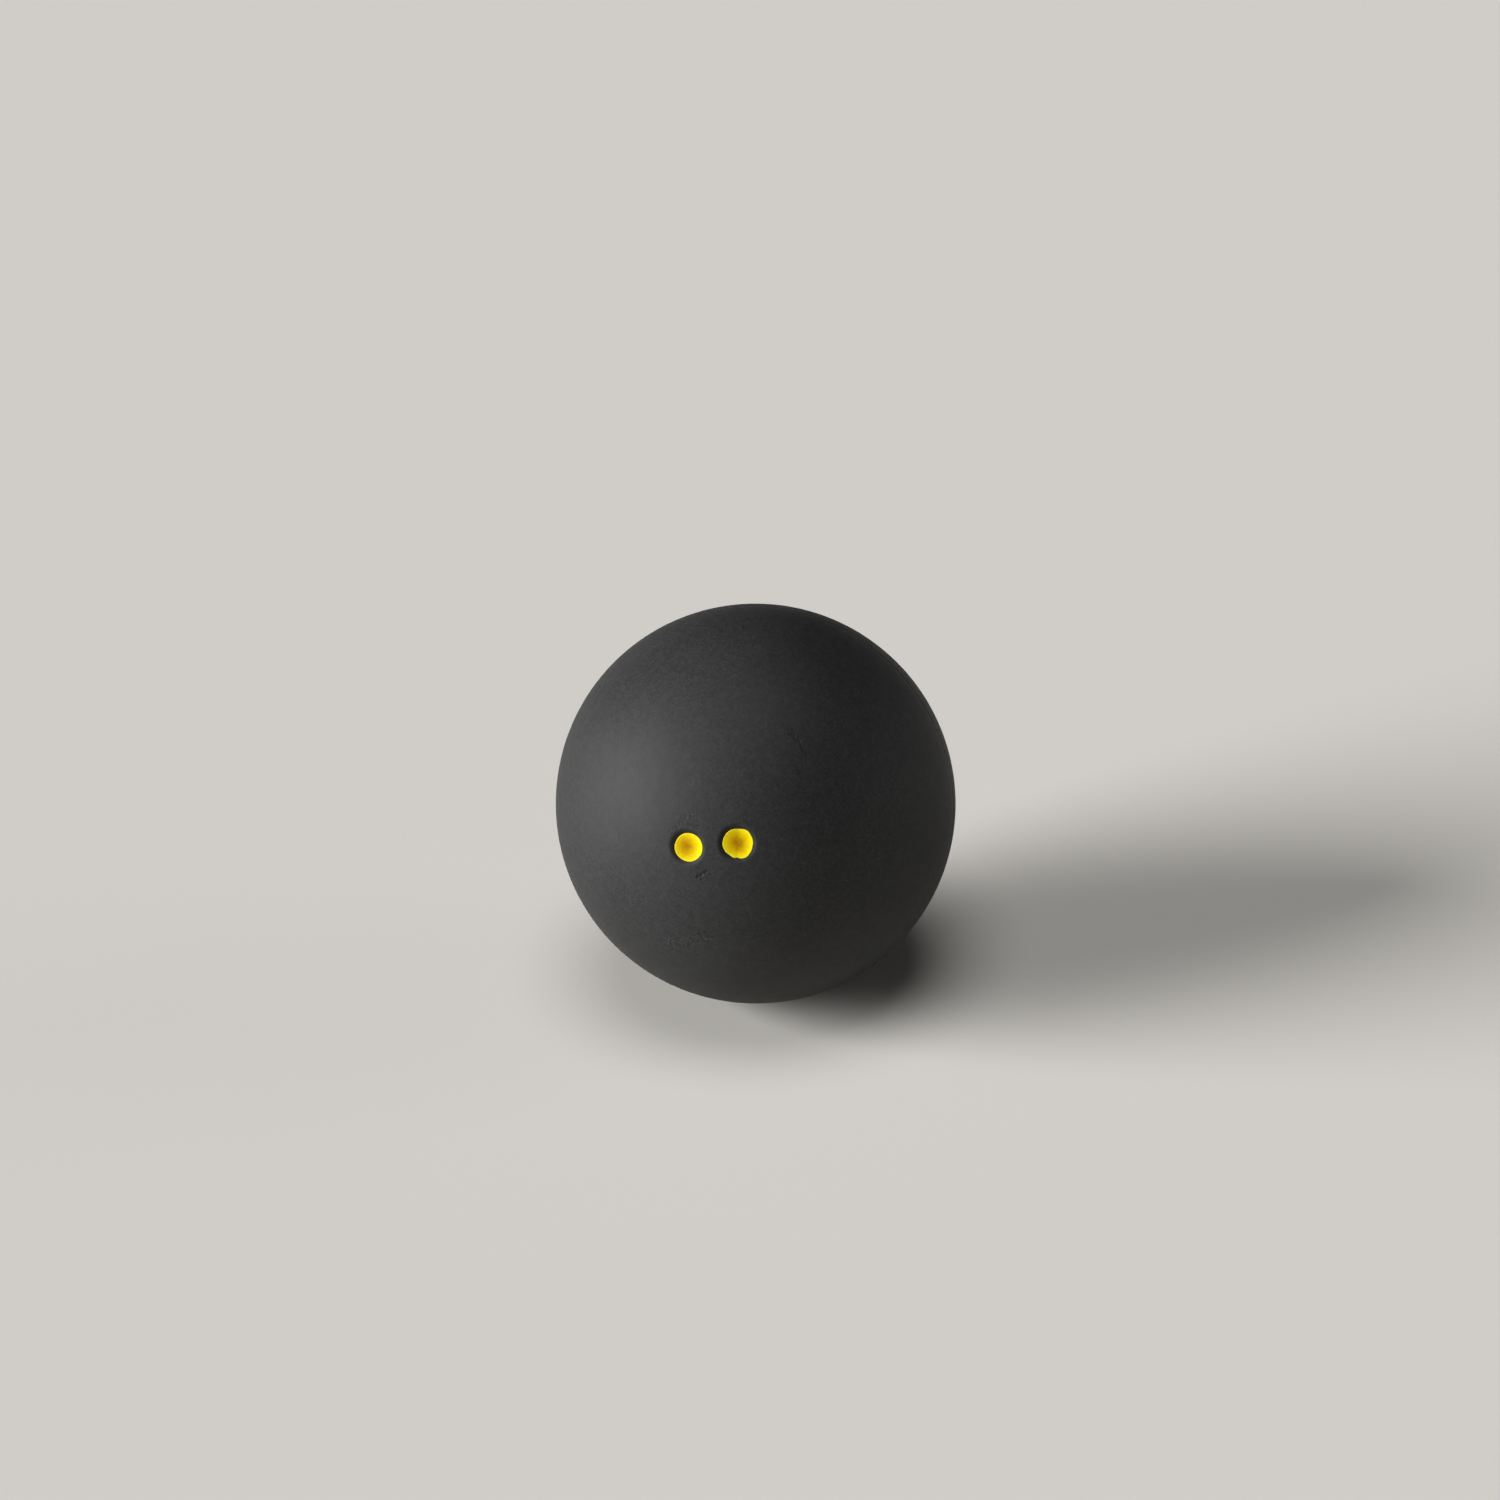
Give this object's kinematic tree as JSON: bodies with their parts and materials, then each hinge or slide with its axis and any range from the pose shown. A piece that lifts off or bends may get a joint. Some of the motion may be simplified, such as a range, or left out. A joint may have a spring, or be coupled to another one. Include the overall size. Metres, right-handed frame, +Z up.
{
  "type": "squash ball",
  "caption": "Hollow black rubber ball for squash, with cemented half shells, a matte buffed surface and yellow paint dots in shallow dishes; it is struck, rolls and bounces.",
  "frame": {"origin": "centre of the ball", "axes": "+Z up as the ball lies; the top of the front half shell, with the dots, faces -Y and is raised 17.25 degrees above level; +X is to the right seen from that side"},
  "size_m": [0.04, 0.04, 0.04],
  "materials": {
    "rubber": "matte, buffed all over to a fine grain",
    "cement": "satin, cured and buffed flush",
    "dot_paint": "yellow paint that dried with a dished top, pale at its edge and ochre in its middle"
  },
  "bodies": {
    "root": {"front_half_shell": "rubber", "rear_half_shell": "rubber", "seam_cement": "cement", "left_paint_dot": "dot_paint", "right_paint_dot": "dot_paint"}
  },
  "joints": []
}
